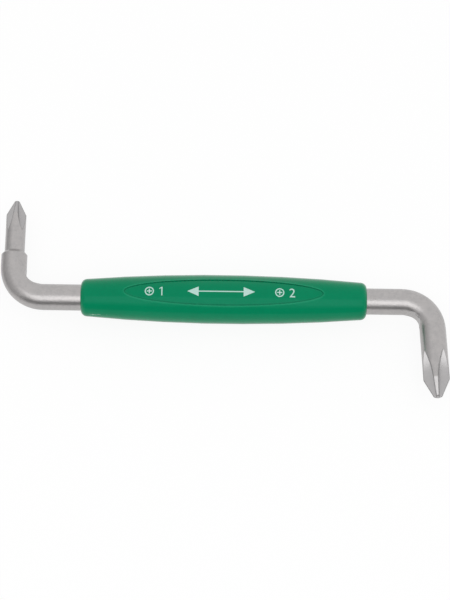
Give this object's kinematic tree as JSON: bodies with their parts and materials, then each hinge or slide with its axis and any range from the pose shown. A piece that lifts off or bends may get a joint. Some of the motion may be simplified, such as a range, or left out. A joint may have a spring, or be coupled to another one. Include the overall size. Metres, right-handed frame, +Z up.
{
  "type": "offset screwdriver",
  "caption": "Z-shaped double-ended offset screwdriver: a round steel bar through a moulded barrel handle, its ends bent opposite ways, with a smaller and a larger cross-recess point.",
  "frame": {"origin": "under the middle of the handle, on the table that the tool lies on", "axes": "+X along the bar to the end with the larger point, +Y the way the smaller point's arm points, +Z up out of the plane of the arms"},
  "size_m": [0.1029, 0.0466, 0.011],
  "materials": {
    "steel": "satin chrome plate on chrome-vanadium steel",
    "handle_plastic": "smooth moulded plastic with a soft sheen"
  },
  "bodies": {
    "root": {"blade": "steel", "handle": "handle_plastic"}
  },
  "joints": []
}
